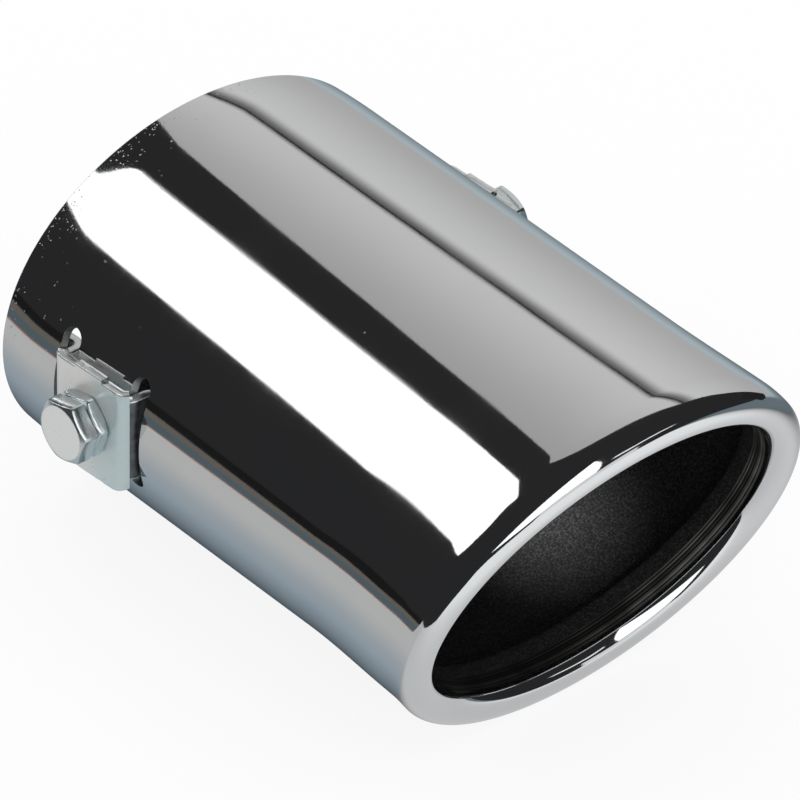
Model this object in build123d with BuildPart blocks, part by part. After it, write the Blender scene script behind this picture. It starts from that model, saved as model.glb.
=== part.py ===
"""Exhaust tip: an oval tube with a slanted, rolled lip and a clamp screw on each side.

The frame's origin is the centre of the rear opening, +X runs along the tube to the
outlet, +Z is up, and the left side is -Y.
"""
import os
from math import cos, radians, sin

from build123d import *

os.makedirs("parts", exist_ok=True)

# Oval tube, in millimetres and degrees
WIDTH = 95.0  # across the oval, outside
HEIGHT = 76.0  # up and down, outside
WALL = 1.2  # sheet thickness
LENGTH = 118.5  # rear edge to the lip's widest line, measured on the axis
SLANT = 17.0  # lean of the outlet, its top further forward

# Rolled lip at the outlet
BEND = 5.5  # length over which the wall turns square to the outlet
FLARE = 1.2  # how far the lip's widest line stands proud of the tube, except at the top
FLARE_LENGTH = 30.0  # length over which the tube widens towards the lip
LIP = 7.5  # width of the rolled lip, front view
HEM = 7.0  # how far the rolled edge runs back inside the lip

# Clamp brackets, one on each side
CLAMP_X = 28.2  # clamp screw's distance from the rear edge
PLATE = 2.0  # bracket sheet thickness
PLATE_LENGTH = 22.2  # along the tube, over the bends
PLATE_HEIGHT = 22.8
PLATE_DROP = 1.0  # plate's middle below the screw
PLATE_CORNER = 4.5  # rounding of the two lower corners
PLATE_TURN = 3.0  # how far a bracket sits turned in its slots
BRACKET_BEND = 1.2  # inside radius of the bends
LEG_HEIGHT = 18.0  # legs and hooks, narrower than the plate
HOOK = 4.5  # length of the hooked leg ends inside the tube
TAB_LENGTH = 7.7  # stub left where the blank was cut from its strip
TAB_HEIGHT = 0.7
SLOT_LENGTH = 25.0  # slots for the legs, with round ends
SLOT_WIDTH = 4.8
SLOT_RISE = 1.0  # slots' middle above the screw
LOOSE = 1.3  # how much further out the right bracket sits than the left one

# M8 clamp screws with small heads, and their lock nuts
THREAD = 8.0
SPANNER = 12.0  # across the flats
HEAD = 3.8
SHANK = 35.0
TIP_CHAMFER = 1.0
NUT = 2.8
LEFT_TURN = 13.0  # angle of a corner of the left head and nut
RIGHT_TURN = 45.0

# Clearances
SEAT = 0.1  # between pieces that bear on each other
THREAD_PLAY = 0.05  # radial, thread in its tapped hole
HOLE_PLAY = 0.6  # radial, screw in the tube's hole

# Values that follow from the ones above
HALF_W = WIDTH / 2
HALF_H = HEIGHT / 2
TILT = radians(SLANT)
LIP_NORMAL = (cos(TILT), 0, -sin(TILT))
TURN_DROP = BEND * sin(TILT) / 2
LIP_DROP = TURN_DROP + FLARE / 2
LIP_ACROSS = HALF_W + FLARE
LIP_ALONG = HALF_H / cos(TILT) + FLARE / 2
LIP_R = LIP / 2
ROUND = LIP_R - 0.05
INNER_ROUND = LIP_R - WALL - 0.05
PLATE_IN = HALF_W + SEAT
PLATE_OUT = PLATE_IN + PLATE
HALF_X = PLATE_LENGTH / 2
LEG_X = HALF_X - PLATE / 2
HOOK_X = HALF_X + HOOK
HOOK_Z = LEG_HEIGHT / 2
HOOK_REACH = HOOK_Z + HOOK_X * sin(radians(PLATE_TURN))
WALL_THERE = (HALF_W - WALL) * (1 - (HOOK_REACH / (HALF_H - WALL)) ** 2) ** 0.5
HOOK_MID = WALL_THERE - SEAT - LOOSE - PLATE / 2
HEAD_UNDER = PLATE_OUT + NUT + 2 * SEAT
CHAMFER_R = 0.475 * SPANNER
FLARE_SECTIONS = tuple(FLARE_LENGTH * i / 8 for i in (9, 8, 7, 6, 5, 4, 3))
SECTIONS = FLARE_SECTIONS + tuple(BEND * i / 4 for i in (5, 4, 3, 2, 1, 0))


def outlet_plane(back, drop=0.0, ahead=0.0):
    """Plane parallel to the outlet, `back` behind the lip's widest line."""
    x = LENGTH - back - drop * sin(TILT) + ahead * cos(TILT)
    z = -drop * cos(TILT) - ahead * sin(TILT)
    return Plane(origin=(x, 0, z), x_dir=(0, 1, 0), z_dir=LIP_NORMAL)


def bend_share(back):
    """Share of the turn towards the outlet that is made `back` behind the lip."""
    return max(0.0, 1 - back / BEND)


def flare_at(back):
    share = max(0.0, 1 - back / FLARE_LENGTH)
    return FLARE * (3 - 2 * share) * share**2


def drop_at(back):
    """Drop of the section's middle: half the flare keeps the top edge from flaring."""
    return TURN_DROP * bend_share(back) ** 2 + flare_at(back) / 2


# Space inside the tube and inside the roll of the lip
with BuildPart() as bore:
    with BuildSketch(outlet_plane(SECTIONS[0])):
        Ellipse(HALF_W - WALL, (HALF_H - WALL) / cos(TILT))
    extrude(amount=2 * LENGTH, dir=(-1, 0, 0))
    for back in SECTIONS:
        with BuildSketch(outlet_plane(back, drop_at(back))):
            grow = flare_at(back)
            Ellipse(HALF_W - WALL + grow, (HALF_H - WALL) / cos(TILT) + grow / 2)
    loft()
    with BuildSketch(outlet_plane(0, LIP_DROP)):
        Ellipse(LIP_ACROSS - WALL, LIP_ALONG - WALL / cos(TILT))
    extrude(amount=LIP_R - WALL)
    fillet(bore.faces().sort_by(Axis.X)[-1].edges(), INNER_ROUND)
    with BuildSketch(outlet_plane(0, LIP_DROP, LIP_R - WALL)):
        Ellipse(LIP_ACROSS - LIP + WALL, LIP_ALONG - LIP + WALL)
    extrude(amount=-(LIP_R - WALL + HEM), mode=Mode.SUBTRACT)
    fillet(bore.faces().sort_by(Axis.X)[-1].inner_wires()[0].edges(), INNER_ROUND)

# Tube and lip, one piece of sheet
with BuildPart() as tip_body:
    with BuildSketch(outlet_plane(SECTIONS[0])):
        Ellipse(HALF_W, HALF_H / cos(TILT))
    extrude(amount=2 * LENGTH, dir=(-1, 0, 0))
    split(bisect_by=Plane.YZ, keep=Keep.TOP)
    for back in SECTIONS:
        with BuildSketch(outlet_plane(back, drop_at(back))):
            grow = flare_at(back)
            Ellipse(HALF_W + grow, HALF_H / cos(TILT) + grow / 2)
    loft()
    with BuildSketch(outlet_plane(0, LIP_DROP)):
        Ellipse(LIP_ACROSS, LIP_ALONG)
    extrude(amount=LIP_R)
    fillet(tip_body.faces().sort_by(Axis.X)[-1].edges(), ROUND)
    with BuildSketch(outlet_plane(0, LIP_DROP, LIP_R)):
        Ellipse(LIP_ACROSS - LIP, LIP_ALONG - LIP)
    extrude(amount=-(LIP_R + HEM + 1), mode=Mode.SUBTRACT)
    fillet(tip_body.faces().sort_by(Axis.X)[-1].inner_wires()[0].edges(), ROUND)
    add(bore.part, mode=Mode.SUBTRACT)
    with BuildSketch(Plane.XZ):
        with Locations((CLAMP_X - LEG_X, SLOT_RISE), (CLAMP_X + LEG_X, SLOT_RISE)):
            SlotOverall(SLOT_LENGTH, SLOT_WIDTH, rotation=90)
        with Locations((CLAMP_X, 0)):
            Circle(THREAD / 2 + HOLE_PLAY)
    extrude(amount=WIDTH, both=True, mode=Mode.SUBTRACT)

# Clamp bracket, drawn about the screw's axis: a strip bent into a U, hooked inside the tube
with BuildPart() as bracket:
    with BuildSketch(Plane.XY.offset(-PLATE_HEIGHT)):
        with BuildLine():
            FilletPolyline(
                (-HOOK_X, -HOOK_MID),
                (-LEG_X, -HOOK_MID),
                (-LEG_X, -PLATE_OUT + PLATE / 2),
                (LEG_X, -PLATE_OUT + PLATE / 2),
                (LEG_X, -HOOK_MID),
                (HOOK_X, -HOOK_MID),
                radius=BRACKET_BEND + PLATE / 2,
            )
        trace(line_width=PLATE)
    extrude(amount=2 * PLATE_HEIGHT)
    with BuildSketch(Plane.XZ):
        with Locations((0, -PLATE_DROP)):
            plate = Rectangle(PLATE_LENGTH, PLATE_HEIGHT)
            fillet(plate.vertices().group_by(Axis.Y)[0], PLATE_CORNER)
        Rectangle(2 * HOOK_X, LEG_HEIGHT)
        with Locations((0, PLATE_HEIGHT / 2 - PLATE_DROP)):
            Rectangle(TAB_LENGTH, 2 * TAB_HEIGHT)
        Circle(THREAD / 2 + THREAD_PLAY, mode=Mode.SUBTRACT)
    extrude(amount=WIDTH, mode=Mode.INTERSECT)
    with BuildSketch(Plane.XZ):
        Rectangle(3 * HOOK_X, 3 * PLATE_HEIGHT)
        Rectangle(3 * HOOK_X, LEG_HEIGHT, mode=Mode.SUBTRACT)
    extrude(amount=PLATE_IN, mode=Mode.SUBTRACT)
with BuildPart() as left_clamp_bracket:
    with Locations(Location((CLAMP_X, 0, 0), (0, -PLATE_TURN, 0))):
        add(bracket.part)


def hexagon(start, height, turn):
    """Hexagon bar round the screw's axis, from `start` outwards, chamfered at its outer end."""
    with BuildPart() as bar:
        with BuildSketch(Plane.XZ.offset(start)):
            with Locations((CLAMP_X, 0)):
                RegularPolygon(SPANNER / 2, 6, major_radius=False, rotation=turn)
        extrude(amount=height)
        with BuildSketch(Plane.XZ.offset(start)):
            with Locations((CLAMP_X, 0)):
                Circle(CHAMFER_R + height * 3**0.5)
        extrude(amount=height, taper=60, mode=Mode.INTERSECT)
    return bar.part


def clamp_screw(turn):
    with BuildPart() as screw:
        add(hexagon(HEAD_UNDER, HEAD, turn))
        with BuildSketch(Plane.XZ.offset(HEAD_UNDER)):
            with Locations((CLAMP_X, 0)):
                Circle(THREAD / 2)
        extrude(amount=-SHANK)
        chamfer(screw.faces().sort_by(Axis.Y)[-1].edges(), TIP_CHAMFER)
    return screw.part


def lock_nut(turn):
    start = PLATE_OUT + SEAT
    with BuildPart() as nut:
        add(hexagon(start, NUT, turn))
        with BuildSketch(Plane.XZ.offset(start + NUT)):
            with Locations((CLAMP_X, 0)):
                Circle(CHAMFER_R + NUT * 3**0.5)
        extrude(amount=-NUT, taper=60, mode=Mode.INTERSECT)
        with BuildSketch(Plane.XZ.offset(start)):
            with Locations((CLAMP_X, 0)):
                Circle(THREAD / 2 + THREAD_PLAY)
        extrude(amount=NUT, mode=Mode.SUBTRACT)
    return nut.part


with BuildPart() as left_clamp_bolt:
    add(clamp_screw(LEFT_TURN))
with BuildPart() as left_lock_nut:
    add(lock_nut(LEFT_TURN))

# The right side is the left side's mirror image, its bracket a little further out
with BuildPart() as right_clamp_bracket:
    add(Pos(0, LOOSE, 0) * mirror(left_clamp_bracket.part, about=Plane.XZ, mode=Mode.PRIVATE))
with BuildPart() as right_clamp_bolt:
    add(Pos(0, LOOSE, 0) * mirror(clamp_screw(RIGHT_TURN), about=Plane.XZ, mode=Mode.PRIVATE))
with BuildPart() as right_lock_nut:
    add(Pos(0, LOOSE, 0) * mirror(lock_nut(RIGHT_TURN), about=Plane.XZ, mode=Mode.PRIVATE))

tip_body.part.label = "tip_body"
export_step(tip_body.part, "parts/tip_body.step")
left_clamp_bracket.part.label = "left_clamp_bracket"
export_step(left_clamp_bracket.part, "parts/left_clamp_bracket.step")
right_clamp_bracket.part.label = "right_clamp_bracket"
export_step(right_clamp_bracket.part, "parts/right_clamp_bracket.step")
left_clamp_bolt.part.label = "left_clamp_bolt"
export_step(left_clamp_bolt.part, "parts/left_clamp_bolt.step")
right_clamp_bolt.part.label = "right_clamp_bolt"
export_step(right_clamp_bolt.part, "parts/right_clamp_bolt.step")
left_lock_nut.part.label = "left_lock_nut"
export_step(left_lock_nut.part, "parts/left_lock_nut.step")
right_lock_nut.part.label = "right_lock_nut"
export_step(right_lock_nut.part, "parts/right_lock_nut.step")
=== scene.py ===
from collections import namedtuple
from math import asin, atan2, cos, pi, radians, sin, sqrt, tan

import bpy
from mathutils import Matrix, Vector, noise


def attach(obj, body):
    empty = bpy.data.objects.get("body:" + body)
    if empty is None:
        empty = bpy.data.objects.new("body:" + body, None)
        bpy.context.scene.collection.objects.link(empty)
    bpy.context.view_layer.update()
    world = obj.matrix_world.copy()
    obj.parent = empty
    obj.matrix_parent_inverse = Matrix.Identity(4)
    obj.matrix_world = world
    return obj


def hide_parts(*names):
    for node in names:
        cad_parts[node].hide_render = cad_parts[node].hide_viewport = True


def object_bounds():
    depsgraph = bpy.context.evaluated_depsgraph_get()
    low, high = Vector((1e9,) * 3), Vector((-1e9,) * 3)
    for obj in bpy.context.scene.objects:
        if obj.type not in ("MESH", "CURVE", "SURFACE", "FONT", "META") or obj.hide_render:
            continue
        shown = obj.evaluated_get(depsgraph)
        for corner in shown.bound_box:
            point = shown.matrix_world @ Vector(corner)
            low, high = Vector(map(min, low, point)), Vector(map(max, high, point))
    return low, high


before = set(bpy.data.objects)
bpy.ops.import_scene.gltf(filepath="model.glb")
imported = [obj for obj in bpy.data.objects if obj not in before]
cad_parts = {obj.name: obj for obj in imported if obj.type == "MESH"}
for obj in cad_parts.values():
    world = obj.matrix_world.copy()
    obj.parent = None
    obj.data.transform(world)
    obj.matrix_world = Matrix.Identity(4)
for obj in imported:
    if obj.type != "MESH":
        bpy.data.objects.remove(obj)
cad_lo, cad_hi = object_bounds()
scene = bpy.context.scene
scene.view_settings.view_transform = "Standard"
MM = 0.001

# Oval tube, in millimetres
HALF_W = 47.5
HALF_H = 38.0
WALL = 1.2
LENGTH = 118.5  # rear edge to the lip's widest line, measured on the axis
TILT = radians(17.0)  # lean of the outlet, its top further forward
CURL = 0.3  # how far the cut rear edge is drawn in
CURL_LENGTH = 9.0
REAR_EASE = 0.25  # rounding of the cut rear edge

# Rolled lip at the outlet
BEND = 5.5  # length over which the wall turns square to the outlet
FLARE = 1.2  # how far the lip's widest line stands proud of the tube, except at the top
FLARE_LENGTH = 30.0  # length over which the tube widens towards the lip
LIP = 7.5  # width of the rolled lip, front view
HEM = 7.0  # how far the rolled edge runs back inside the lip
HEM_BRIGHT = 3.6  # part of the hem that the paint leaves bare
HEM_EASE = 0.3  # rounding of the hem's end
TURN_DROP = BEND * sin(TILT) / 2
LIP_DROP = TURN_DROP + FLARE / 2
LIP_ACROSS = HALF_W + FLARE
LIP_ALONG = HALF_H / cos(TILT) + FLARE / 2
LIP_R = LIP / 2

# M8 clamp screws and lock nuts
THREAD_R = 4.0
THREAD_PITCH = 1.25
THREAD_DEPTH = 0.66
GROOVE_HALF = 0.42  # half a groove's mouth, as a share of the pitch
GROOVE_STEEP = 1.15  # above 1, this leaves the groove's floor flat
THREAD_PLAY = 0.05  # radial, thread in its tapped hole
HOLE_PLAY = 0.6  # radial, screw in the tube's hole
NECK_R = 0.98 * THREAD_R
TIP_CHAMFER = 1.0
SPANNER = 12.0  # across the flats
HEAD = 3.8
SHANK = 35.0
NUT = 2.8
NUT_BORE_R = 4.06
NUT_MOUTH_R = 4.45
NUT_MOUTH = 0.4  # depth of the nut's countersinks
CHAMFER_R = 0.475 * SPANNER
CHAMFER_SLOPE = tan(radians(30.0))
HEAD_DISH = ((4.6, 0.02), (3.0, 0.05), (1.2, 0.07))  # radius and depth of the face's hollow

# Clamp brackets and the tube's openings for them
CLAMP_X = 28.2  # clamp screw's distance from the rear edge
SEAT = 0.1  # gap between pieces that bear on each other
LOOSE = 1.3  # how much further out the right bracket sits than the left one
PLATE = 2.0  # sheet thickness
PLATE_LENGTH = 22.2
PLATE_HEIGHT = 22.8
PLATE_DROP = 1.0  # plate's middle below the screw
PLATE_CORNER = 4.5  # rounding of the two lower corners
PLATE_TURN = radians(3.0)  # how far a bracket sits turned in its slots
BRACKET_BEND = 1.2  # inside radius of the bends
LEG_HEIGHT = 18.0
HOOK = 4.5  # length of the hooked leg ends inside the tube
TAB_LENGTH = 7.7
TAB_HEIGHT = 0.7
EDGE_ROUND = 0.32  # rounding of the strip's edges
RAGGED_TOP = 0.06  # unevenness of the sheared edges
RAGGED_BOTTOM = 0.1
SLOT_LENGTH = 25.0
SLOT_WIDTH = 4.8
SLOT_RISE = 1.0  # slots' middle above the screw
SLOT_TAPER = 0.7  # narrowing of each slot's sides towards the inside
HOLE_R = THREAD_R + HOLE_PLAY
HALF_X = PLATE_LENGTH / 2
LEG_X = HALF_X - PLATE / 2
HOOK_X = HALF_X + HOOK
HOOK_REACH = LEG_HEIGHT / 2 + HOOK_X * sin(PLATE_TURN)
WALL_THERE = (HALF_W - WALL) * sqrt(1 - (HOOK_REACH / (HALF_H - WALL)) ** 2)
HOOK_MID = WALL_THERE - SEAT - LOOSE - PLATE / 2
BEND_R = BRACKET_BEND + PLATE / 2
PLATE_IN = HALF_W + SEAT
PLATE_MID = PLATE_IN + PLATE / 2
PLATE_OUT = PLATE_IN + PLATE
TAPPED_R = THREAD_R + THREAD_PLAY
HEAD_UNDER = PLATE_OUT + NUT + 2 * SEAT

# Side, name, angle of a hexagon corner in degrees, and how far out the clamp sits
CLAMPS = ((-1, "left", 13.0, 0.0), (1, "right", 45.0, LOOSE))


def spaced(start, stop, count):
    return [start + (stop - start) * i / count for i in range(count + 1)]


def merge(*runs):
    """One rising list from several, without near repeats."""
    out = []
    for run in runs:
        out += [v for v in run if not out or v > out[-1] + 1e-6]
    return out


def along(a, b, share):
    return tuple(p + (q - p) * share for p, q in zip(a, b))


# Camera at the photograph's viewpoint, with its angles in degrees
VIEW_AZIMUTH, VIEW_ELEVATION, VIEW_ROLL = -43.335, 36.846, 3.322
VIEW_DISTANCE = 2.4
AIM = Vector((LENGTH / 2, 0.0, 0.0)) * MM


def add_camera():
    azimuth, elevation, roll = (radians(a) for a in (VIEW_AZIMUTH, VIEW_ELEVATION, VIEW_ROLL))
    back = Vector((cos(elevation) * cos(azimuth), cos(elevation) * sin(azimuth), sin(elevation)))
    level = Vector((-sin(azimuth), cos(azimuth), 0.0))
    rise = back.cross(level)
    right = level * cos(roll) + rise * sin(roll)
    up = rise * cos(roll) - level * sin(roll)
    data = bpy.data.cameras.new("camera")
    data.sensor_width = 36.0
    data.lens = 566.97
    data.shift_x = 0.01021
    data.shift_y = 0.00156
    data.clip_start = 0.05
    data.clip_end = 50.0
    camera = bpy.data.objects.new("camera", data)
    turned = Matrix((right, up, back)).transposed().to_4x4()
    camera.matrix_world = Matrix.Translation(AIM + back * VIEW_DISTANCE) @ turned
    scene.collection.objects.link(camera)
    scene.camera = camera


add_camera()


# Materials, with places and depths in metres
class Graph:
    """A node tree, with short calls for the nodes that the materials share."""

    def __init__(self, tree):
        self.nodes = tree.nodes
        self.links = tree.links

    def feed(self, node, feeds):
        """Links or sets a node's inputs, given by name or number."""
        for key, value in feeds.items():
            socket = node.inputs[key]
            if isinstance(value, bpy.types.NodeSocket):
                self.links.new(value, socket)
            elif socket.type == "RGBA":
                socket.default_value = (*value, 1.0)
            else:
                socket.default_value = value

    def add(self, kind, feeds=None, **settings):
        node = self.nodes.new("ShaderNode" + kind)
        for name, value in settings.items():
            setattr(node, name, value)
        self.feed(node, feeds or {})
        return node

    def place(self, stretch=(1.0, 1.0, 1.0)):
        """Place on the object; a stretch below 1 draws a texture out along that axis."""
        where = self.add("TexCoord").outputs["Object"]
        return self.add("Mapping", {"Vector": where, "Scale": stretch}).outputs["Vector"]

    def axes(self, vector):
        return self.add("SeparateXYZ", {"Vector": vector}).outputs

    def noise(self, where, scale, detail, roughness=0.5):
        feeds = {"Vector": where, "Scale": scale, "Detail": detail, "Roughness": roughness}
        return self.add("TexNoise", feeds).outputs["Fac"]

    def spread(self, source, span, to=(0.0, 1.0)):
        """Takes a value from one range to another, eased, and held beyond the ends."""
        feeds = {"Value": source, "From Min": span[0], "From Max": span[1],
                 "To Min": to[0], "To Max": to[1]}
        return self.add("MapRange", feeds, interpolation_type="SMOOTHSTEP").outputs["Result"]

    def maths(self, operation, first, second):
        return self.add("Math", {0: first, 1: second}, operation=operation).outputs["Value"]

    def tint(self, factor, dark, light, blend="MIX"):
        feeds = {"Factor": factor, 6: dark, 7: light}
        return self.add("Mix", feeds, data_type="RGBA", blend_type=blend).outputs[2]

    def bump(self, height, depth, below=None):
        feeds = {"Height": height, "Distance": depth}
        if below is not None:
            feeds["Normal"] = below
        return self.add("Bump", feeds).outputs["Normal"]


def new_material(name):
    mat = bpy.data.materials.new(name)
    mat.use_nodes = True
    graph = Graph(mat.node_tree)
    return mat, graph, graph.nodes["Principled BSDF"]


# Colours, dark and light
STEEL_DARK, STEEL_LIGHT = (0.70, 0.715, 0.73), (0.76, 0.765, 0.77)
PAINT_DARK, PAINT_LIGHT = (0.0094, 0.0094, 0.0093), (0.0305, 0.0305, 0.03)
# The hem's light colour is a painted sheen on its score lines
HEM_DARK, HEM_SHEEN = (0.01, 0.01, 0.01), (0.58, 0.57, 0.53)
# Depths of the bumps, and how far two textures are drawn out along the tube
WAVE_DEPTH, GRAIN_DEPTH, PIT_DEPTH, GRIT_DEPTH = 0.00004, 0.0000014, 0.00006, 0.00025
PULL_DEPTH, DENT_DEPTH = 0.00001, 0.00004
ROLLED, PULLED = (0.35, 1.0, 1.0), (0.12, 1.0, 1.0)
# Pits: cells in a metre, sizes in cells, and the share of pitted cells by distance
PIT_CELLS = 1500.0
PIT_RAGGED = (0.0005, 0.0005, 0.0005)
PIT_SIZE, PIT_SIZE_MORE = 0.1, 0.24
PIT_NEAR, PIT_NEAR_SHARE = (0.0, 0.0045), (0.75, 0.0)
PIT_FAR, PIT_FAR_SHARE = (0.003, 0.03), (0.034, 0.001)
WORN_PLACES = ((0.001, -0.0345, 0.0262), (0.0015, -0.0208, 0.0342))
WORN_REACH, WORN_SHARE = (0.001, 0.0065), (0.85, 0.0)
ROUGH_MORE = 0.12  # how much rougher the zinc's pale patches are


def edge_pits(graph, here):
    """Pits left by the cut, thick in patches along the rear edge and few further on."""
    x = graph.axes(here)["X"]
    ripple = graph.add("TexNoise", {"Vector": here, "Scale": 2 * PIT_CELLS, "Detail": 2.0})
    shifted = graph.add("VectorMath", {0: ripple.outputs["Color"], 1: PIT_RAGGED, 2: here},
                        operation="MULTIPLY_ADD").outputs["Vector"]
    cells = graph.add("TexVoronoi", {"Vector": shifted, "Scale": PIT_CELLS, "Randomness": 1.0}).outputs
    chance = graph.add("SeparateColor", {"Color": cells["Color"]}).outputs
    share = graph.maths("ADD", graph.spread(x, PIT_NEAR, PIT_NEAR_SHARE),
                        graph.spread(x, PIT_FAR, PIT_FAR_SHARE))
    patch = graph.noise(here, scale=130.0, detail=1.0)
    share = graph.maths("MULTIPLY", share, graph.spread(patch, (0.4, 0.6), (0.2, 1.6)))
    for worn in WORN_PLACES:
        reach = graph.add("VectorMath", {0: here, 1: worn}, operation="DISTANCE").outputs["Value"]
        share = graph.maths("ADD", share, graph.spread(reach, WORN_REACH, WORN_SHARE))
    chosen = graph.maths("GREATER_THAN", chance["Red"], graph.maths("SUBTRACT", 1.0, share))
    size = graph.maths("ADD", graph.maths("MULTIPLY", chance["Green"], PIT_SIZE_MORE), PIT_SIZE)
    ratio = graph.maths("DIVIDE", cells["Distance"], size)
    hollow = graph.maths("MULTIPLY", graph.spread(ratio, (0.1, 1.0), (1.0, 0.0)), chosen)
    return graph.maths("MULTIPLY", hollow, -1.0)


def polished_steel():
    """Mirror polish over the slow waves of a rolled sheet, smudged and finely grained."""
    mat, graph, shader = new_material("polished_steel")
    here = graph.place()
    smudge = graph.noise(here, scale=45.0, detail=4.0, roughness=0.6)
    wave = graph.noise(graph.place(ROLLED), scale=60.0, detail=2.0)
    grain = graph.noise(here, scale=2600.0, detail=1.0)
    normal = graph.bump(wave, WAVE_DEPTH)
    normal = graph.bump(grain, GRAIN_DEPTH, normal)
    graph.feed(shader, {
        "Metallic": 1.0,
        "Base Color": graph.tint(smudge, STEEL_DARK, STEEL_LIGHT),
        "Roughness": graph.spread(smudge, (0.35, 0.7), (0.04, 0.07)),
        "Normal": graph.bump(edge_pits(graph, here), PIT_DEPTH, normal),
    })
    return mat


def black_paint():
    mat, graph, shader = new_material("black_paint")
    here = graph.place()
    speck = graph.noise(here, scale=2300.0, detail=2.0, roughness=0.65)
    cloud = graph.noise(here, scale=70.0, detail=3.0)
    graph.feed(shader, {
        "Base Color": graph.tint(graph.spread(speck, (0.42, 0.66)), PAINT_DARK, PAINT_LIGHT),
        "Roughness": graph.spread(cloud, (0.3, 0.7), (0.5, 0.68)),
        "Specular IOR Level": 0.08,
        "Normal": graph.bump(speck, GRIT_DEPTH),
    })
    return mat


def hem_score_and_sheen():
    """Steel inside the lip, scored by the rolling; the score lines carry a painted sheen, brighter towards
    the right.
    """
    mat, graph, shader = new_material("hem_score_and_sheen")
    here = graph.place()
    ahead = graph.add("VectorMath", {0: here, 1: (cos(TILT), 0.0, -sin(TILT))},
                      operation="DOT_PRODUCT").outputs["Value"]
    lines = graph.add("TexNoise", {"W": ahead, "Scale": 1600.0, "Detail": 3.0},
                      noise_dimensions="1D").outputs["Fac"]
    patch = graph.noise(here, scale=90.0, detail=2.0)
    score_and_sheen = graph.maths("MULTIPLY", graph.spread(lines, (0.4, 0.65)),
                        graph.spread(patch, (0.35, 0.6), (0.4, 1.0)))
    # Painted sheen: the score lines grow lighter towards the right
    sheen_rightwards = graph.spread(graph.axes(here)["Y"], (0.0, 0.036), (0.1, 1.0))
    score_and_sheen = graph.maths("MULTIPLY", score_and_sheen, sheen_rightwards)
    graph.feed(shader, {
        "Metallic": 0.6,
        "Base Color": graph.tint(score_and_sheen, HEM_DARK, HEM_SHEEN),
        "Roughness": 0.33,
    })
    return mat


def zinc(name, metal, rough, dark, light, grain=160.0, turn=None):
    """Zinc plating, part mirror and part pale film; turn moves its colour towards the light or the dark
    one along x.
    """
    mat, graph, shader = new_material(name)
    here = graph.place()
    cloud = graph.noise(here, scale=grain, detail=4.0, roughness=0.6)
    pale = cloud
    if turn is not None:
        pale = graph.maths("ADD", cloud, graph.spread(graph.axes(here)["X"], *turn))
    pull = graph.noise(graph.place(PULLED), scale=900.0, detail=2.0)
    dents = graph.noise(here, scale=420.0, detail=2.0)
    graph.feed(shader, {
        "Metallic": metal,
        "Base Color": graph.tint(pale, dark, light),
        "Roughness": graph.spread(cloud, (0.3, 0.7), (rough, rough + ROUGH_MORE)),
        "Normal": graph.bump(dents, DENT_DEPTH, graph.bump(pull, PULL_DEPTH)),
    })
    return mat


STEEL = polished_steel()
PAINT = black_paint()
HEM_SCORE_AND_SHEEN = hem_score_and_sheen()
CUT = zinc("cut_steel", 1.0, 0.36, (0.34, 0.345, 0.35), (0.5, 0.505, 0.51))
PLATED = zinc("zinc_sheet", 0.5, 0.26, (0.54, 0.685, 0.705), (0.81, 0.795, 0.775),
              turn=((0.024, 0.039), (0.4, -0.35)))
# Legs' outer faces: near-black zinc with streaks, a painted shade
LEG_SHADE = zinc("zinc_leg_painted_shade", 0.9, 0.34, (0.01, 0.011, 0.012), (0.3, 0.315, 0.33), grain=620.0)
EDGE = zinc("zinc_edge", 1.0, 0.16, (0.62, 0.66, 0.67), (0.95, 0.97, 0.97))
SCREW = zinc("zinc_screw", 0.97, 0.13, (0.58, 0.68, 0.71), (0.88, 0.895, 0.895))
FACE = zinc("zinc_face", 0.45, 0.26, (0.73, 0.755, 0.755), (0.82, 0.815, 0.80))


# Mesh building: millimetres in, metres out
class Shape:
    def __init__(self):
        self.points = []
        self.faces = []
        self.kinds = []

    def ring(self, points):
        """Adds points and gives their numbers."""
        first = len(self.points)
        self.points += points
        return list(range(first, len(self.points)))

    def face(self, corners, kind=0):
        """Adds a face; its kind is the number of its material."""
        self.faces.append(corners)
        self.kinds.append(kind)

    def band(self, first, second, kind=0):
        """Joins two closed rings of as many points."""
        for j in range(len(first)):
            k = (j + 1) % len(first)
            self.face((first[j], first[k], second[k], second[j]), kind)

    def build(self, name, materials, sharp, move=None, mirrored=False):
        """Makes the object, with edges over `sharp` degrees left sharp."""
        moved = [Vector(p) for p in self.points]
        if move is not None:
            moved = [move @ p for p in moved]
        faces = [face[::-1] for face in self.faces] if mirrored else self.faces
        mesh = bpy.data.meshes.new(name)
        mesh.from_pydata([p * MM for p in moved], [], faces)
        for mat in materials:
            mesh.materials.append(mat)
        mesh.polygons.foreach_set("material_index", self.kinds)
        mesh.update()
        mesh.shade_smooth()
        mesh.set_sharp_from_angle(angle=radians(sharp))
        obj = bpy.data.objects.new(name, mesh)
        scene.collection.objects.link(obj)
        return obj


def block_loop(i0, i1, j0, j1):
    """Grid points round a block of a grid's cells, in order."""
    loop = [(i0, j) for j in range(j0, j1)] + [(i, j1) for i in range(i0, i1)]
    return loop + [(i1, j) for j in range(j1, j0, -1)] + [(i, j0) for i in range(i1, i0, -1)]


# Tube with its slanted, rolled lip: a grid of rings along x, open where the clamps pass through
BARE, PAINTED, CUT_EDGE, HEM_SIDE = range(4)
STRAIGHT_END = FLARE_LENGTH + 1.0  # the straight tube's last ring lies this far behind the lip
AROUND = 360
ANGLES = [2 * pi * j / AROUND for j in range(AROUND)]
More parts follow.
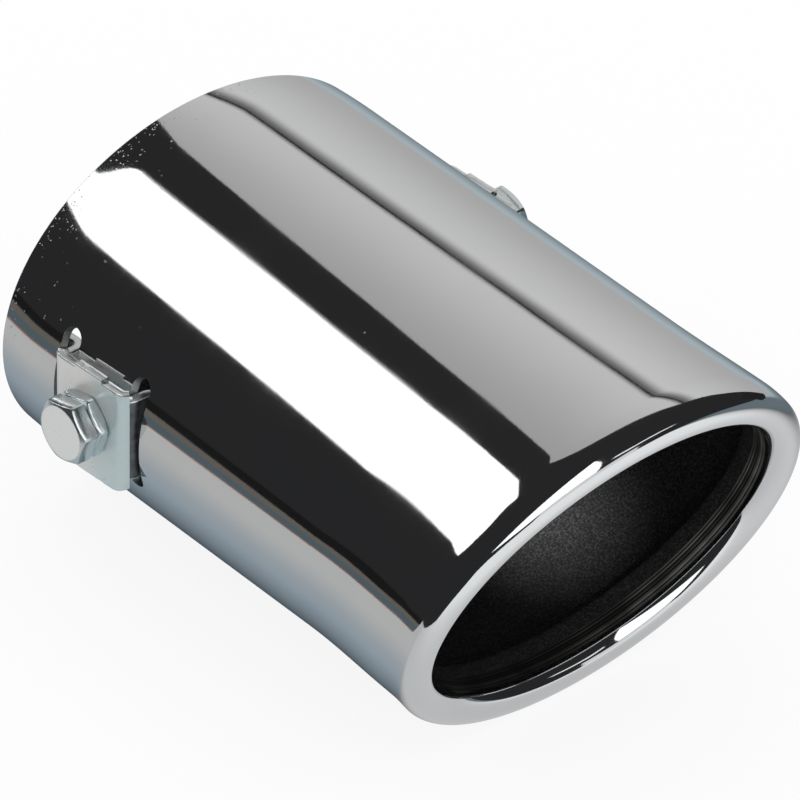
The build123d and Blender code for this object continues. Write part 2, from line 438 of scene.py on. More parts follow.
# Half the width of the grid that is cut away for a slot and for a hole
SLOT_MARGIN = SLOT_WIDTH / 2 + 0.9
HOLE_MARGIN = HOLE_R + 1.0
X_LINES = merge(
    (REAR_EASE, 0.3, 0.6, 1.2, 2.0, 3.0, 4.2, 5.6, 7.2, 9.0, 12.0),
    spaced(CLAMP_X - LEG_X - SLOT_MARGIN, CLAMP_X - LEG_X + SLOT_MARGIN, 10),
    spaced(CLAMP_X - HOLE_MARGIN, CLAMP_X + HOLE_MARGIN, 12),
    spaced(CLAMP_X + LEG_X - SLOT_MARGIN, CLAMP_X + LEG_X + SLOT_MARGIN, 10),
    (45.0, 50.0, 56.0, 62.0),
)
Opening = namedtuple("Opening", "side x z straight radius margin")


def oval(x, t, inset):
    """Point of the straight tube at angle t, its rear edge drawn in a little."""
    off = -CURL * max(0.0, 1 - x / CURL_LENGTH) ** 2 - inset
    return (x, (HALF_W + off) * cos(t), (HALF_H + off) * sin(t))


def slanted(back, t, inset):
    """Point of the flared tube on a plane parallel to the outlet, `back` behind the lip."""
    turned = max(0.0, 1 - back / BEND)
    flared = max(0.0, 1 - back / FLARE_LENGTH)
    grow = FLARE * (3 - 2 * flared) * flared**2
    drop = TURN_DROP * turned**2 + grow / 2
    across = HALF_W - inset + grow
    up = (HALF_H - inset) / cos(TILT) + grow / 2
    return (LENGTH - back - drop * sin(TILT) + up * sin(t) * sin(TILT),
            across * cos(t),
            -drop * cos(TILT) + up * sin(t) * cos(TILT))


def rolled(ahead, t, inset):
    """Point of the lip or hem, `ahead` of the lip's widest line and `inset` from it."""
    across = LIP_ACROSS - inset
    up = LIP_ALONG - inset
    return (LENGTH - LIP_DROP * sin(TILT) + ahead * cos(TILT) + up * sin(t) * sin(TILT),
            across * cos(t),
            -LIP_DROP * cos(TILT) - ahead * sin(TILT) + up * sin(t) * cos(TILT))


def straight_rings(shape, inset):
    """Rings of the straight tube, the last few leaning more and more towards the slant."""
    rings = [shape.ring([oval(x, t, inset) for t in ANGLES]) for x in X_LINES]
    last = X_LINES[-1]
    for share in spaced(0.0, 1.0, 8)[1:]:
        points = []
        for t in ANGLES:
            end = slanted(STRAIGHT_END, t, inset)[0]
            points.append(oval(last + share * (end - last), t, inset))
        rings.append(shape.ring(points))
    return rings


def openings():
    """The slots and holes; straight is half the length of a slot's straight sides."""
    straight = (SLOT_LENGTH - SLOT_WIDTH) / 2
    found = []
    for side in (-1, 1):
        for x in (CLAMP_X - LEG_X, CLAMP_X + LEG_X):
            found.append(Opening(side, x, SLOT_RISE, straight, SLOT_WIDTH / 2, SLOT_MARGIN))
        found.append(Opening(side, CLAMP_X, 0.0, 0.0, HOLE_R, HOLE_MARGIN))
    return found


def nearest_line(x):
    return min(range(len(X_LINES)), key=lambda i: abs(X_LINES[i] - x))


def opening_block(hole):
    """Rows and columns of the tube's grid that an opening takes up."""
    low = asin((hole.z - hole.straight - hole.margin) / HALF_H)
    high = asin((hole.z + hole.straight + hole.margin) / HALF_H)
    if hole.side < 0:
        low, high = pi - high, pi - low
    step = 2 * pi / AROUND
    return (nearest_line(hole.x - hole.margin), nearest_line(hole.x + hole.margin),
            round(low / step), round(high / step))


def rim_point(facing, hole, radius, inset):
    """The point of the opening's edge that faces a point of the grid."""
    dx, dz = facing[0] - hole.x, facing[2] - hole.z
    if abs(dz) <= hole.straight:
        x, z = hole.x + (radius if dx > 0 else -radius), facing[2]
    else:
        end = hole.straight if dz > 0 else -hole.straight
        angle = atan2(dz - end, dx)
        x, z = hole.x + radius * cos(angle), hole.z + end + radius * sin(angle)
    y = (HALF_W - inset) * sqrt(1 - (z / (HALF_H - inset)) ** 2)
    return (x, hole.side * y, z)


def cut_opening(shape, outer, inner, hole):
    """Joins the tube's two grids to the opening's edge, and gives the cells that it takes up."""
    i0, i1, j0, j1 = opening_block(hole)
    loop = block_loop(i0, i1, j0, j1)
    inner_radius = hole.radius - (SLOT_TAPER if hole.straight else 0.0)
    outer_around = [outer[i][j % AROUND] for i, j in loop]
    outer_rim = shape.ring([rim_point(shape.points[n], hole, hole.radius, 0.0) for n in outer_around])
    shape.band(outer_rim, outer_around, BARE)
    inner_around = [inner[i][j % AROUND] for i, j in loop]
    inner_rim = shape.ring([rim_point(shape.points[n], hole, inner_radius, WALL) for n in inner_around])
    shape.band(inner_around, inner_rim, PAINTED)
    shape.band(inner_rim, outer_rim, CUT_EDGE)
    return {(i, j % AROUND) for i in range(i0, i1) for j in range(j0, j1)}


def add_wall(shape, rings, taken, kind, flip):
    """One side of the tube's wall, without the grid cells that openings have taken."""
    for i in range(len(rings) - 1):
        for j in range(AROUND):
            if (i, j) in taken:
                continue
            k = (j + 1) % AROUND
            quad = (rings[i][j], rings[i + 1][j], rings[i + 1][k], rings[i][k])
            shape.face(quad[::-1] if flip else quad, kind)


def add_lip(shape, outer_end, inner_end):
    """Flared wall, rolled lip, hem and the wall's inner side, as one run of rings."""

    def wall_ring(back, inset):
        return shape.ring([slanted(back, t, inset) for t in ANGLES])

    def lip_ring(ahead, inset):
        return shape.ring([rolled(ahead, t, inset) for t in ANGLES])

    run = [outer_end]
    run += [wall_ring(back, 0.0) for back in spaced(FLARE_LENGTH, BEND, 14)[:-1]]
    run += [wall_ring(back, 0.0) for back in spaced(BEND, 0.0, 18)]
    run += [lip_ring(LIP_R * sin(a), LIP_R - LIP_R * cos(a)) for a in spaced(0.0, pi, 24)[1:]]
    hem_start = len(run) - 1
    run += [lip_ring(-back, LIP) for back in spaced(0.0, HEM_BRIGHT, 4)[1:]]
    paint_start = len(run) - 1
    run += [lip_ring(-back, LIP) for back in (4.5, 6.0, HEM - HEM_EASE)]
    half = WALL / 2
    for a in spaced(0.0, pi, 5)[1:]:
        run.append(lip_ring(HEM_EASE - HEM - half / 2 * sin(a), LIP - half + half * cos(a)))
    run += [lip_ring(-back, LIP - WALL) for back in (4.0, 2.0, 0.0)]
    small = LIP_R - WALL
    run += [lip_ring(small * sin(a), LIP_R - small * cos(a)) for a in spaced(pi, 0.0, 12)[1:]]
    run += [wall_ring(back, WALL) for back in spaced(0.0, BEND, 8)[1:]]
    run += [wall_ring(back, WALL) for back in spaced(BEND, FLARE_LENGTH, 10)[1:]]
    run.append(inner_end)
    for i, (first, second) in enumerate(zip(run, run[1:])):
        kind = PAINTED if i >= paint_start else HEM_SIDE if i >= hem_start else BARE
        shape.band(second, first, kind)


def add_rear_edge(shape, outer_start, inner_start):
    """The cut edge, slightly rounded, with paint on its inner half."""
    half = WALL / 2
    run = [outer_start]
    for a in spaced(0.0, pi, 6)[1:-1]:
        x = REAR_EASE - REAR_EASE * sin(a)
        run.append(shape.ring([oval(x, t, half - half * cos(a)) for t in ANGLES]))
    run.append(inner_start)
    for i, (first, second) in enumerate(zip(run, run[1:])):
        shape.band(first, second, BARE if i < 3 else PAINTED)


def make_tip():
    shape = Shape()
    outer = straight_rings(shape, 0.0)
    inner = straight_rings(shape, WALL)
    taken = set()
    for hole in openings():
        taken |= cut_opening(shape, outer, inner, hole)
    add_wall(shape, outer, taken, BARE, True)
    add_wall(shape, inner, taken, PAINTED, False)
    add_lip(shape, outer[-1], inner[-1])
    add_rear_edge(shape, outer[0], inner[0])
    obj = shape.build("tip_shell", (STEEL, PAINT, CUT, HEM_SCORE_AND_SHEEN), sharp=38.0)
    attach(obj, "tip")
    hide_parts("tip_body")


# Clamp brackets: a section swept along a bent strip, drawn about the left screw's axis
FRONT, TOP, REAR, BOTTOM = range(4)
# Kinds of the strip's faces; the leg's outer face is painted dark as shade
PLAIN_SIDE, SHADED_LEG_SIDE, TOP_EDGE = range(3)
LEVELS = 14
HOLE_GRID = 5.4  # half the length of the plate's grid that the tapped hole takes up
HOLE_CLEAR = 0.2
LEG_TURN = 0.8  # how far the strip has turned where its leg face, painted dark as shade, begins
STEP_AT = 0.5  # where a step in the strip's height begins, as a share of the way between stations
STEP_SHARE = 0.04  # length of the step, as the same share
ROUND_TURNS = (pi / 8, pi / 4, 3 * pi / 8)
Station = namedtuple("Station", "x y nx ny part")


def strip_path():
    """Middle line of half the strip, from the plate's middle to the hook, with its outward normal."""
    path = []
    flat = LEG_X - BEND_R
    for x in merge(spaced(0.0, HOLE_GRID, 9), (5.9, 6.6, 7.2), (flat,)):
        path.append(Station(x, PLATE_MID, 0.0, 1.0, "tab" if x < TAB_LENGTH / 2 else "plate"))
    for a in spaced(pi / 2, 0.0, 12)[1:]:
        part = "plate" if BEND_R * sin(a) > BRACKET_BEND else "leg"
        path.append(Station(flat + BEND_R * cos(a), PLATE_MID - BEND_R + BEND_R * sin(a),
                            cos(a), sin(a), part))
    low = HOOK_MID + BEND_R
    for y in spaced(PLATE_MID - BEND_R, low, 3)[1:]:
        path.append(Station(LEG_X, y, 1.0, 0.0, "leg"))
    for a in spaced(0.0, pi / 2, 8)[1:]:
        path.append(Station(LEG_X + BEND_R - BEND_R * cos(a), low - BEND_R * sin(a),
                            cos(a), sin(a), "leg"))
    for x in spaced(LEG_X + BEND_R, HOOK_X, 3)[1:]:
        path.append(Station(x, HOOK_MID, 0.0, 1.0, "leg"))
    return path


def strip_stations():
    """The whole strip, hook to hook, with two more stations at each step in its height."""
    half = strip_path()
    whole = [Station(-s.x, s.y, -s.nx, s.ny, s.part) for s in half[:0:-1]] + half
    stations = whole[:1]
    for before, after in zip(whole, whole[1:]):
        if before.part != after.part:
            stations.append(Station(*along(before[:4], after[:4], STEP_AT), before.part))
            stations.append(Station(*along(before[:4], after[:4], STEP_AT + STEP_SHARE), after.part))
        stations.append(after)
    return stations


def strip_heights(station, seed):
    """Bottom and top of the strip; the plate's sheared edges are a little uneven."""
    if station.part == "leg":
        return -LEG_HEIGHT / 2, LEG_HEIGHT / 2
    bottom = -PLATE_HEIGHT / 2 - PLATE_DROP
    past = abs(station.x) - (HALF_X - PLATE_CORNER)
    if past > 0:
        bottom += PLATE_CORNER - sqrt(PLATE_CORNER**2 - past**2)
    top = PLATE_HEIGHT / 2 - PLATE_DROP + (TAB_HEIGHT if station.part == "tab" else 0.0)
    top += RAGGED_TOP * noise.noise(Vector((0.9 * station.x, 0.0, 0.0)) + seed)
    bottom += RAGGED_BOTTOM * noise.noise(Vector((0.7 * station.x, 9.0, 0.0)) + seed)
    return bottom, top


def strip_section(shape, station, seed):
    """Points round the strip at a station: front face, top edge, rear face and bottom edge."""
    bottom, top = strip_heights(station, seed)
    low, high = bottom + EDGE_ROUND, top - EDGE_ROUND
    face = PLATE / 2
    flat = face - EDGE_ROUND
    size = sqrt(station.nx**2 + station.ny**2)
    ux, uy = station.nx / size, station.ny / size
    eased = [(EDGE_ROUND * cos(a), EDGE_ROUND * sin(a)) for a in ROUND_TURNS]

    def run(places):
        return shape.ring([(station.x + ux * off, -(station.y + uy * off), z) for off, z in places])

    front = run([(face, z) for z in spaced(low, high, LEVELS)])
    rear = run([(-face, z) for z in spaced(low, high, LEVELS)])
    over = run([(flat + c, high + s) for c, s in eased]
               + [(flat, top), (-flat, top)]
               + [(-flat - s, high + c) for c, s in eased])
    under = run([(-flat - c, low - s) for c, s in eased]
                + [(-flat, bottom), (flat, bottom)]
                + [(flat + s, low - c) for c, s in eased])
    return front, over, rear[::-1], under


def tapped_block(shape, stations, sections):
    """Rows and columns of the plate's grid that the tapped hole takes up."""
    inside = [i for i, station in enumerate(stations) if abs(station.x) < HOLE_GRID + 0.01]
    i0, i1 = inside[0], inside[-1]
    levels = [shape.points[n][2] for n in sections[(i0 + i1) // 2][FRONT]]
    reach = TAPPED_R + HOLE_CLEAR
    j0 = max(j for j, z in enumerate(levels) if z < -reach)
    j1 = min(j for j, z in enumerate(levels) if z > reach)
    return i0, i1, j0, j1


def add_strip(shape, stations, sections, block):
    """The strip's four sides, without the cells that the tapped hole has taken."""
    i0, i1, j0, j1 = block
    for i in range(len(stations) - 1):
        # Where the strip has turned into a leg, its outer face takes the painted shade
        turned = min(abs(stations[i].nx), abs(stations[i + 1].nx)) > LEG_TURN
        kinds = (SHADED_LEG_SIDE if turned else PLAIN_SIDE, TOP_EDGE, PLAIN_SIDE, PLAIN_SIDE)
        for side in (FRONT, TOP, REAR, BOTTOM):
            first, second = sections[i][side], sections[i + 1][side]
            for j in range(len(first) - 1):
                level = j if side == FRONT else LEVELS - 1 - j
                if side in (FRONT, REAR) and i0 <= i < i1 and j0 <= level < j1:
                    continue
                shape.face((first[j], second[j], second[j + 1], first[j + 1]), kinds[side])
            after = (side + 1) % 4
            shape.face((first[-1], second[-1], sections[i + 1][after][0], sections[i][after][0]))


def add_tapped_hole(shape, sections, block):
    loop = block_loop(*block)
    front_around = [sections[i][FRONT][j] for i, j in loop]
    rear_around = [sections[i][REAR][::-1][j] for i, j in loop]
    rims = []
    for around, first in ((front_around, True), (rear_around, False)):
        points = []
        for n in around:
            x, y, z = shape.points[n]
            a = atan2(z, x)
            points.append((TAPPED_R * cos(a), y, TAPPED_R * sin(a)))
        rim = shape.ring(points)
        shape.band(*((around, rim) if first else (rim, around)))
        rims.append(rim)
    shape.band(*rims)


def make_bracket(side, name):
    shape = Shape()
    stations = strip_stations()
    seed = Vector((3.1 * side, 7.7, 1.9))
    sections = [strip_section(shape, station, seed) for station in stations]
    block = tapped_block(shape, stations, sections)
    add_strip(shape, stations, sections, block)
    add_tapped_hole(shape, sections, block)
    first_end = [n for run in sections[0] for n in run]
    last_end = [n for run in sections[-1] for n in run]
    shape.face(tuple(first_end))
    shape.face(tuple(last_end[::-1]))
    move = Matrix.Translation((CLAMP_X, 0.0, 0.0)) @ Matrix.Rotation(-PLATE_TURN, 4, "Y")
    if side > 0:
        move = Matrix.Translation((0.0, LOOSE, 0.0)) @ Matrix.Scale(-1.0, 4, (0.0, 1.0, 0.0)) @ move
    obj = shape.build(name + "_bracket", (PLATED, LEG_SHADE, EDGE), sharp=40.0, move=move, mirrored=side > 0)
    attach(obj, "tip")
    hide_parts(name + "_clamp_bracket")


# Screws and lock nuts, drawn along +Z from the head's or nut's seat
HEX_STEPS, THREAD_STEPS, THREAD_ROWS = 180, 60, 336
HEX_ANGLES = [2 * pi * i / HEX_STEPS for i in range(HEX_STEPS)]
THREAD_ANGLES = [2 * pi * i / THREAD_STEPS for i in range(THREAD_STEPS)]
CORNER_EASE = 0.12  # how far the hexagon's corners are drawn in
CORNER_R = SPANNER / 2 / cos(pi / 6) - CORNER_EASE
CORNER_SPAN, CORNER_FALL = 0.06, 0.9  # angle over which a corner then falls off, and its slope
HEX_EASE = 0.1  # rounding of the chamfer's outer edge
SEAT_BEVEL = 0.25  # bevel under the head
SEAT_EASE = 0.02
RIM_OUT, RIM_DROP, RIM_IN = 0.12, 0.075, 0.15  # rounding of the face's rim


def hex_radius(angle):
    """Radius of the hexagon with its corners eased."""
    within = abs((angle % (pi / 3)) - pi / 6)
    eased = CORNER_R - CORNER_FALL * max(0.0, CORNER_SPAN - (pi / 6 - within))
    return min(SPANNER / 2 / cos(within), eased)


def chamfer_drop(angle):
    return max(0.0, hex_radius(angle) - CHAMFER_R) * CHAMFER_SLOPE


def circle(radius, z, angles):
    return [(radius * cos(a), radius * sin(a), z) for a in angles]


def add_hexagon(shape, height, both_ends):
    """Hexagon with a chamfered top, and a bottom chamfered too or bevelled; gives its end rings."""
    rings = []

    def ring(radius, z):
        rings.append(shape.ring([(radius(a) * cos(a), radius(a) * sin(a), z(a)) for a in HEX_ANGLES]))

    if both_ends:
        ring(lambda a: CHAMFER_R, lambda a: 0.0)
        ring(hex_radius, lambda a: chamfer_drop(a) + SEAT_EASE)
    else:
        ring(lambda a: hex_radius(a) - SEAT_BEVEL, lambda a: 0.0)
        ring(hex_radius, lambda a: SEAT_BEVEL)
    ring(hex_radius, lambda a: (height - chamfer_drop(a)) * 0.5 + HEX_EASE)
    ring(hex_radius, lambda a: height - chamfer_drop(a) - HEX_EASE)
    ring(lambda a: hex_radius(a) - 0.6 * HEX_EASE, lambda a: height - chamfer_drop(a) + 0.2 * HEX_EASE)
    ring(lambda a: CHAMFER_R + RIM_OUT, lambda a: height - RIM_DROP)
    ring(lambda a: CHAMFER_R - RIM_IN, lambda a: height)
    for first, second in zip(rings, rings[1:]):
        shape.band(first, second)
    return rings[0], rings[-1]


def thread_radius(z, turn):
    """Radius of the thread z below the head, at a share of a turn round it."""
    phase = (-z / THREAD_PITCH - turn) % 1.0
    groove = max(0.0, 1.0 - abs(phase - 0.5) / GROOVE_HALF)
    radius = THREAD_R - THREAD_DEPTH * min(1.0, groove * GROOVE_STEEP)
    return min(radius, THREAD_R - TIP_CHAMFER + (SHANK + z))


def outward(side, turn, start):
    """Takes a shape drawn along +Z to its place on the left or right screw axis."""
    axes = Matrix((
        (1.0, 0.0, 0.0, CLAMP_X),
        (0.0, 0.0, float(side), side * start),
        (0.0, 1.0, 0.0, 0.0),
        (0.0, 0.0, 0.0, 1.0),
    ))
    return axes @ Matrix.Rotation(radians(turn), 4, "Z")


def make_screw(side, name, turn, start):
    shape = Shape()
    seat, last = add_hexagon(shape, HEAD, False)
    for radius, dish in HEAD_DISH:
        ring = shape.ring(circle(radius, HEAD - dish, HEX_ANGLES))
        shape.band(last, ring, 1)
        last = ring
    shape.face(tuple(last), 1)
    neck = shape.ring(circle(NECK_R, 0.0, THREAD_ANGLES))
    each = HEX_STEPS // THREAD_STEPS
    for i in range(THREAD_STEPS):
        under = [seat[(each * i + k) % HEX_STEPS] for k in range(each, -1, -1)]
        shape.face((neck[i], neck[(i + 1) % THREAD_STEPS], *under))
    last = neck
    for row in range(1, THREAD_ROWS + 1):
        z = -SHANK * row / THREAD_ROWS
        points = []
        for i, a in enumerate(THREAD_ANGLES):
            radius = thread_radius(z, i / THREAD_STEPS)
            points.append((radius * cos(a), radius * sin(a), z))
        ring = shape.ring(points)
        shape.band(ring, last)
        last = ring
    shape.face(tuple(last[::-1]))
    move = outward(side, turn, start)
    obj = shape.build(name + "_screw_piece", (SCREW, FACE), sharp=32.0, move=move, mirrored=side > 0)
    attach(obj, name + "_screw")
    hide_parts(name + "_clamp_bolt")


def make_nut(side, name, turn, start):
    shape = Shape()
    bottom, top = add_hexagon(shape, NUT, True)
    bore = [shape.ring(circle(radius, z, HEX_ANGLES))
            for radius, z in ((NUT_MOUTH_R, NUT), (NUT_BORE_R, NUT - NUT_MOUTH),
                              (NUT_BORE_R, NUT_MOUTH), (NUT_MOUTH_R, 0.0))]
    for first, second in zip([top] + bore, bore + [bottom]):
        shape.band(first, second)
    move = outward(side, turn, start)
    obj = shape.build(name + "_nut_piece", (SCREW,), sharp=32.0, move=move, mirrored=side > 0)
    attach(obj, name + "_screw")
    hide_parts(name + "_lock_nut")


make_tip()
for side, name, turn, out in CLAMPS:
    make_bracket(side, name)
    make_nut(side, name, turn, PLATE_OUT + SEAT + out)
    make_screw(side, name, turn, HEAD_UNDER + out)


# Studio: a pale floor, even light, and the panels that the polished steel mirrors
WHITE = (1.0, 1.0, 1.0)
FLOOR_MM = cad_lo.z / MM


def rail(a, b):
    return [along(a, b, share) for share in spaced(0.0, 1.0, 12)]


def card(name, rails, colour, strength, high_strength=None, fade=None):
    """A glowing sheet over rows of points, in millimetres, that only mirror rays meet.

    With high_strength the glow changes from the bottom to the top, and fade then dims a part.
    """
    wide = len(rails[0])
    quads = []
    for r in range(len(rails) - 1):
        for i in range(r * wide, (r + 1) * wide - 1):
            quads.append((i, i + 1, i + wide + 1, i + wide))
    mesh = bpy.data.meshes.new(name)
    mesh.from_pydata([Vector(p) * MM for row in rails for p in row], [], quads)
    mat = bpy.data.materials.new(name)
    mat.use_nodes = True
    graph = Graph(mat.node_tree)
    graph.nodes.clear()
    level = strength
    if high_strength is not None:
        up = graph.axes(graph.add("TexCoord").outputs["Generated"])["Z"]
        level = graph.spread(up, (0.0, 1.0), (strength, high_strength))
        if fade is not None:
            level = graph.maths("MULTIPLY", level, graph.spread(up, *fade))
    glow = graph.add("Emission", {"Color": colour, "Strength": level})
    graph.add("OutputMaterial", {"Surface": glow.outputs["Emission"]})
    mesh.materials.append(mat)
    obj = bpy.data.objects.new(name, mesh)
    scene.collection.objects.link(obj)
    obj.visible_camera = False
    obj.visible_diffuse = False
    obj.visible_shadow = False


# Light box: a bright panel over the left side, between a high and a low line
SOFT_COLOUR, SOFT_STRENGTH = (1.0, 1.0, 0.985), 1.55
SOFT_HIGH = ((-195.5, -29.8, 313.4), (-108.0, -74.5, 312.6))
SOFT_LOW = ((-196.0, -225.4, 230.5), (-108.5, -267.2, 192.2))
# Its outline, with round corners, as rows of (share of the way down, far end, near end)
SOFT_SHAPE = (
    (-0.01, -0.17, 1.3), (-0.004, -0.2, 1.75), (0.006, -0.22, 2.2), (0.02, -0.25, 2.38),
    (0.05, -0.3, 2.41), (0.1, -0.35, 2.4), (0.15, -0.39, 2.4), (0.25, -0.47, 2.46),
    (0.36, -0.6, 2.52), (0.46, -1.2, 2.5), (0.65, -1.3, 2.4), (0.78, -1.3, 2.27),
    (0.88, -1.3, 2.15), (0.92, -1.3, 1.9), (0.945, -1.3, 1.55),
)
# Its bulging foot, as (share of the way down, share of the way along)
SOFT_FOOT_TOP = 0.93
SOFT_FOOT = (
    (0.945, 0.69), (0.96, 0.8), (0.975, 0.92), (0.99, 1.03), (0.985, 1.2), (0.965, 1.4), (0.94, 1.6),
)
# Dimmer strips along its upper edge: name, shares of the way down, near end, strength
SOFT_EDGE_FAR = -0.17
SOFT_EDGE = (
    ("soft_inner", (-0.026, -0.01), 0.97, 0.62),
    ("soft_outer", (-0.042, -0.026), 0.93, 0.2),
)


def soft_point(down, share):
    return along(along(*SOFT_HIGH, share), along(*SOFT_LOW, share), down)


soft_rows = [rail(soft_point(down, far), soft_point(down, near)) for down, far, near in SOFT_SHAPE]
card("softbox", soft_rows, SOFT_COLOUR, SOFT_STRENGTH)
foot_rows = ([soft_point(SOFT_FOOT_TOP, share) for down, share in SOFT_FOOT],
             [soft_point(down, share) for down, share in SOFT_FOOT])
card("soft_foot", foot_rows, SOFT_COLOUR, SOFT_STRENGTH)
for name, edges, near, strength in SOFT_EDGE:
    edge_rows = [rail(soft_point(down, SOFT_EDGE_FAR), soft_point(down, near)) for down in edges]
    card(name, edge_rows, SOFT_COLOUR, strength)
# Bright panel behind the tube
REAR_FAR, REAR_NEAR, REAR_SIDE, REAR_Z = -620.0, -325.0, (-120.0, 25.0), 313.0
card("rear_light", [rail((REAR_FAR, y, REAR_Z), (REAR_NEAR, y, REAR_Z)) for y in REAR_SIDE], WHITE, 3.0)

# Grey panels over the top and right side, with a dark seam between them
GREY_HIGH = ((-195.5, 73.4, 302.6), (-108.0, 19.4, 318.1))
GREY_FAR, GREY_NEAR = along(*GREY_HIGH, -2.6), along(*GREY_HIGH, 1.85)
FAR_X, NEAR_X = -423.0, 46.0
BACK_Y, BACK_FOOT_Y, SEAM_HIGH, SEAM_LOW = 237.0, 300.0, 222.0, 214.0
NEAR_BOW = 6  # how suddenly the upper panel's near edge reaches NEAR_X
upper_rows = []
for down in spaced(0.0, 1.0, 20):
    far = along(GREY_FAR, (FAR_X, BACK_Y, SEAM_HIGH), down)
    near = along(GREY_NEAR, (NEAR_X, BACK_Y, SEAM_HIGH), down)
    bowed_x = GREY_NEAR[0] + (NEAR_X - GREY_NEAR[0]) * (1 - (1 - down) ** NEAR_BOW)
    upper_rows.append(rail(far, (bowed_x, near[1], near[2])))
card("upper_panel", upper_rows, (1.0, 0.987, 0.974), 0.67,
     high_strength=0.435, fade=((0.0, 0.055), (0.4, 1.0)))
card("back_panel", (rail((FAR_X, BACK_Y, SEAM_LOW), (NEAR_X, BACK_Y, SEAM_LOW)),
                    rail((FAR_X, BACK_FOOT_Y, FLOOR_MM), (NEAR_X, BACK_FOOT_Y, FLOOR_MM))),
     (1.0, 0.99, 0.98), 0.475, high_strength=0.715, fade=((0.835, 0.995), (1.0, 0.2)))

# Open front: a wide light overhead, a wall beyond, and a dark card low on the right
FRONT_CORNER, FRONT_SIZE, FRONT_Z = (262.0, 20.0), 1300.0, 330.0
FRONT_LEFT, FRONT_RIGHT = radians(-45.0), radians(13.0)
STRIP_IN = ((640.0, 165.0), (705.0, 290.0), (665.0, 430.0), (665.0, 545.0))
STRIP_OUT = ((760.0, 195.0), (870.0, 330.0), (800.0, 450.0), (755.0, 560.0))
WALL_RIGHT, WALL_LEFT = (1400.0, 650.0), (2300.0, -270.0)
DARK_X, DARK_Y, DARK_TOP = (30.0, 160.0), 330.0, 85.0


def front_point(left, right):
    return (FRONT_CORNER[0] + FRONT_SIZE * (left * cos(FRONT_LEFT) + right * cos(FRONT_RIGHT)),
            FRONT_CORNER[1] + FRONT_SIZE * (left * sin(FRONT_LEFT) + right * sin(FRONT_RIGHT)),
            FRONT_Z)


card("front_light", [rail(front_point(0, right), front_point(1, right)) for right in (0, 1)], WHITE, 1.5)
card("front_strip", [[(*p, FRONT_Z) for p in edge] for edge in (STRIP_IN, STRIP_OUT)], WHITE, 1.1)
card("front_wall", [rail((*WALL_RIGHT, z), (*WALL_LEFT, z)) for z in (FRONT_Z, FLOOR_MM)], WHITE, 0.8)
card("dark_right", [rail((DARK_X[0], DARK_Y, z), (DARK_X[1], DARK_Y, z)) for z in (0.0, DARK_TOP)],
     WHITE, 0.02)

# Left edge of the table, seen as a thin coloured line in the steel, and the dark beyond it
LAYER = FLOOR_MM + 0.5
TABLE_IN = ((-600.0, -135.0, LAYER), (-18.0, -135.0, LAYER), (60.0, -135.0, LAYER))
TABLE_OUT = ((-600.0, -435.0, LAYER), (-18.0, -190.0, LAYER), (60.0, -188.0, LAYER))
TABLE_FRONT = ((130.0, -150.0, LAYER), (175.0, -118.0, LAYER), (350.0, -215.0, LAYER),
               (900.0, -600.0, LAYER))
EDGE_BANDS = (
    ("table_line", 0.0, 0.06, (0.42, 0.20, 0.14)),
    ("table_blue", 0.06, 0.55, (0.095, 0.13, 0.145)),
    ("table_brown", 0.55, 1.0, (0.15, 0.135, 0.12)),
    ("table_dark", 1.0, 1.8, (0.0125, 0.0125, 0.0125)),
)
BEYOND_Y, BEYOND_WIDEN = -6000.0, 12


def table_row(share):
    return [along(a, b, share) for a, b in zip(TABLE_IN, TABLE_OUT)]


for name, first, last, colour in EDGE_BANDS:
    card(name, (table_row(first), table_row(last)), colour, 1.0)
beyond = table_row(EDGE_BANDS[-1][2]) + list(TABLE_FRONT)
card("dark_beyond", (beyond, [(BEYOND_WIDEN * x, BEYOND_Y, z) for x, y, z in beyond]),
     (1.0, 1.0, 1.04), 0.025)

# Floor: pale to the camera; the steel mirrors it with painted shade, dim and blue beside the tube, and
# painted light ahead of the lip
FLOOR_HALF = 4.0
FLOOR_COLOUR = (0.97, 0.97, 0.97)
FLOOR_WHITE = 0.88  # share of plain white in what the camera sees, the rest taking the shadow
# Colours of the painted shadow beside the tube, left and right, from pale to dark
LEFT_PALE, LEFT_BLUE_SHADE, LEFT_SHADE = (0.55, 0.55, 0.54), (0.315, 0.38, 0.43), (0.06, 0.075, 0.09)
RIGHT_SHADE, RIGHT_PALE = (0.108, 0.142, 0.165), (0.44, 0.515, 0.545)
AHEAD_PAINTED_LIGHT = (0.985, 0.995, 1.0)
# Steps of painted light ahead of the lip, as (range of x, gain)
AHEAD_STEPS = (((0.084, 0.112), 0.62), ((0.11, 0.23), 0.35), ((0.23, 0.7), 0.35))
AHEAD_SKEW = 0.25  # how much sooner the steps come further right
AHEAD_SIDE = (0.06, 0.19)  # range of y over which the bright part ends on the right
AHEAD_LEAN_X, AHEAD_LEAN = 0.135, 0.72  # past this x, that limit leans further right


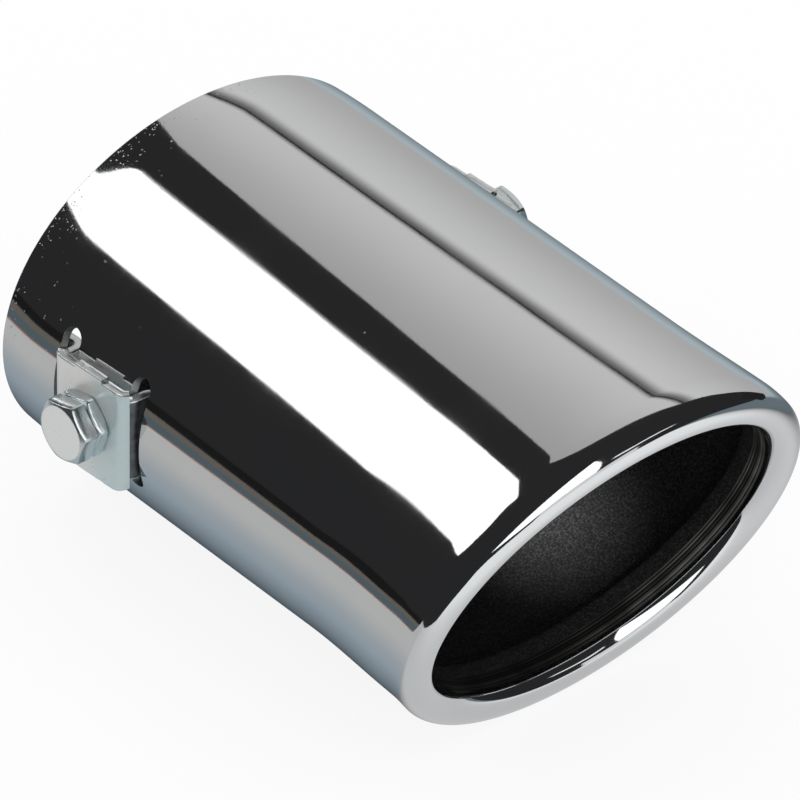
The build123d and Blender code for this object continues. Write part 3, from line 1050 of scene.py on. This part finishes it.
def mirrored_floor_with_painted_light(graph):
    """The floor as the steel mirrors it, by place in metres: a painted shadow beside the tube and painted
    light ahead of the lip.
    """
    where = graph.axes(graph.add("NewGeometry").outputs["Position"])
    x, y = where["X"], where["Y"]
    left = graph.tint(graph.spread(y, (-0.1, -0.045)), LEFT_PALE, LEFT_BLUE_SHADE)
    left = graph.tint(graph.spread(y, (-0.058, -0.022)), left, LEFT_SHADE)
    beside = graph.maths("MULTIPLY", graph.spread(y, (0.04, 0.26)),
                         graph.spread(x, (0.0, 0.07), (1.0, 0.15)))
    under = graph.tint(graph.spread(y, (-0.02, 0.02)), LEFT_SHADE, RIGHT_SHADE)
    right = graph.tint(beside, under, RIGHT_PALE)
    skew = graph.maths("MULTIPLY", graph.maths("MAXIMUM", y, 0.0), AHEAD_SKEW)
    ahead = graph.maths("ADD", x, skew)
    bright = 0.0
    for span, gain in AHEAD_STEPS:
        bright = graph.maths("ADD", bright, graph.spread(ahead, span, (0.0, gain)))
    past = graph.maths("MAXIMUM", graph.maths("SUBTRACT", x, AHEAD_LEAN_X), 0.0)
    aside = graph.maths("SUBTRACT", y, graph.maths("MULTIPLY", past, AHEAD_LEAN))
    bright = graph.maths("MULTIPLY", bright, graph.spread(aside, AHEAD_SIDE, (1.0, 0.0)))
    front = graph.tint(bright, (0.0, 0.0, 0.0), AHEAD_PAINTED_LIGHT)
    sides = graph.tint(1.0, left, right, "LIGHTEN")
    return graph.tint(1.0, sides, front, "LIGHTEN")


def floor_material():
    mat, graph, shader = new_material("floor")
    graph.feed(shader, {"Base Color": FLOOR_COLOUR, "Roughness": 0.9, "Specular IOR Level": 0.0})
    ray = graph.add("LightPath").outputs
    white = graph.add("Emission", {"Color": WHITE, "Strength": 1.0})
    seen = graph.add("MixShader", {
        "Fac": graph.maths("MULTIPLY", ray["Is Camera Ray"], FLOOR_WHITE),
        1: shader.outputs["BSDF"],
        2: white.outputs["Emission"],
    })
    # Mirror rays meet this glow of painted shadow and painted light, not the lit floor
    mirrored = graph.add("Emission", {"Color": mirrored_floor_with_painted_light(graph), "Strength": 1.0})
    blend = graph.add("MixShader", {
        "Fac": ray["Is Glossy Ray"],
        1: seen.outputs["Shader"],
        2: mirrored.outputs["Emission"],
    })
    graph.feed(graph.nodes["Material Output"], {"Surface": blend.outputs["Shader"]})
    return mat


corners = [(x * FLOOR_HALF, y * FLOOR_HALF, cad_lo.z) for x, y in ((-1, -1), (1, -1), (1, 1), (-1, 1))]
floor_mesh = bpy.data.meshes.new("floor")
floor_mesh.from_pydata(corners, [], [(0, 1, 2, 3)])
floor_mesh.materials.append(floor_material())
floor = bpy.data.objects.new("floor", floor_mesh)
scene.collection.objects.link(floor)

# Small lamp that shines through the outlet onto the black paint
LAMP_AT, LAMP_TO = Vector((420.0, -129.0, 291.0)) * MM, Vector((71.0, 26.5, -30.0)) * MM
lamp_data = bpy.data.lights.new("inside_lamp", "SPOT")
lamp_data.energy = 70.0
lamp_data.spot_size = radians(3.5)
lamp_data.spot_blend = 1.0
lamp_data.shadow_soft_size = 0.01
lamp = bpy.data.objects.new("inside_lamp", lamp_data)
lamp.rotation_mode = "QUATERNION"
lamp.rotation_quaternion = (LAMP_TO - LAMP_AT).to_track_quat("-Z", "Y")
lamp.location = LAMP_AT
lamp.visible_glossy = False
scene.collection.objects.link(lamp)

# Even white light all round, which the steel mirrors as a dark room
WORLD_DARK = (0.025, 0.025, 0.026)
world = bpy.data.worlds.new("studio")
scene.world = world
world.use_nodes = True
sky = Graph(world.node_tree)
glossy = sky.add("LightPath").outputs["Is Glossy Ray"]
sky.feed(sky.nodes["Background"], {"Color": sky.tint(glossy, WHITE, WORLD_DARK), "Strength": 1.0})
